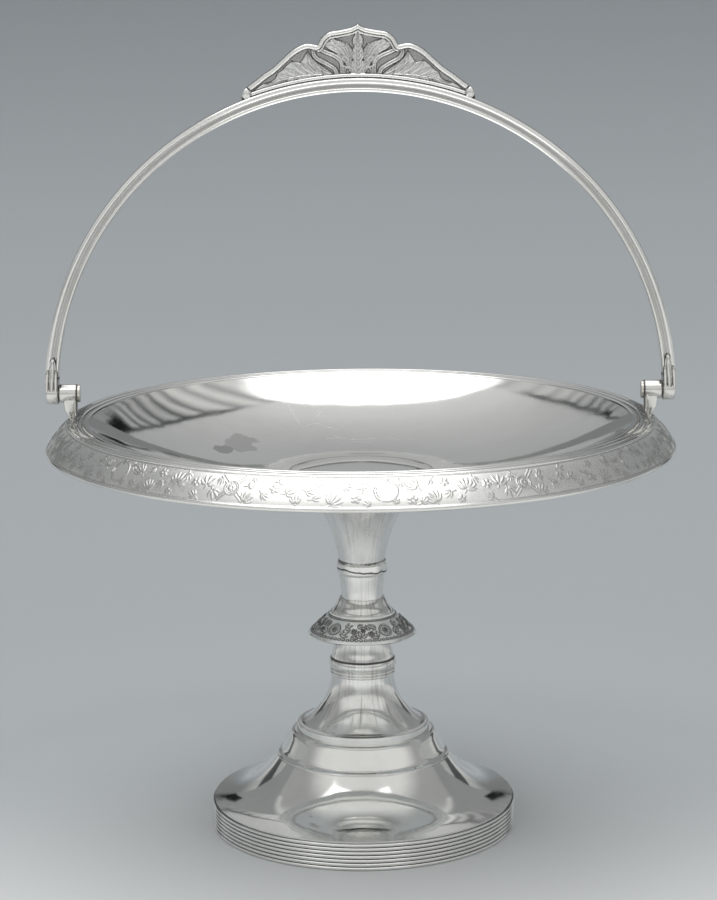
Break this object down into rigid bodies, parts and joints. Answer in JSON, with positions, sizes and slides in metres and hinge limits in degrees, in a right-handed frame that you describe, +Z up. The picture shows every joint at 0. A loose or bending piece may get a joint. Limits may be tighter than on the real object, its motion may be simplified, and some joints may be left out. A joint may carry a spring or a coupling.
{
  "type": "footed cake basket",
  "caption": "Round silver-plated cake basket: shallow dish with an ornamented sloping rim on a trumpet foot, and a swing handle with a leaf crest.",
  "frame": {"origin": "centre of the round foot, on the surface that the basket stands on", "axes": "+Z up, X along the handle's hinge axis, -Y towards the front"},
  "size_m": [0.26, 0.26, 0.3352],
  "materials": {
    "polished_plate": "hand-polished silver plate with fine wipe marks",
    "mirror_plate": "bright silver plate, faint engraved sprig and light tarnish",
    "satin_plate": "worn satin silver plate with vertical polish marks",
    "reeded_plate": "reeded silver plate, darker in the grooves",
    "ornament_plate": "die-rolled silver plate, flowers and scrolls in low relief",
    "oxidised_plate": "die-rolled silver plate, oxidised dark in the recesses",
    "cast_plate": "cast and plated, a little base metal showing at worn edges",
    "bow_plate": "drawn and plated, bright beads and a soft groove",
    "crest_plate": "cast and plated leaf work with grey recessed ground",
    "rivet_brass": "plated brass rivet, plate worn through at the head"
  },
  "bodies": {
    "stand": {"foot_band": "reeded_plate", "foot_cone": "polished_plate", "foot_step_ring": "polished_plate", "lower_trumpet": "satin_plate", "trumpet_collar": "satin_plate", "stem_ferrule": "satin_plate", "knop_flange": "oxidised_plate", "knop_cap": "satin_plate", "neck_tube": "satin_plate", "neck_ring": "satin_plate", "dish_support": "satin_plate", "dish": "mirror_plate", "rim_moulding": "reeded_plate", "rim_band": "ornament_plate", "rim_lower_bead": "reeded_plate", "hinge_lug_right": "cast_plate", "hinge_lug_left": "cast_plate"},
    "handle": {"handle_bow": "bow_plate", "handle_crest": "crest_plate", "handle_terminal_right": "cast_plate", "handle_terminal_left": "cast_plate", "hinge_pin_right": "rivet_brass", "hinge_pin_left": "rivet_brass"}
  },
  "joints": [
    {"name": "handle_swing", "type": "hinge", "parent": "stand", "child": "handle", "pos_m": [0, 0, 0.18515], "axis": [1, 0, 0], "range_deg": [-93, 93]}
  ]
}
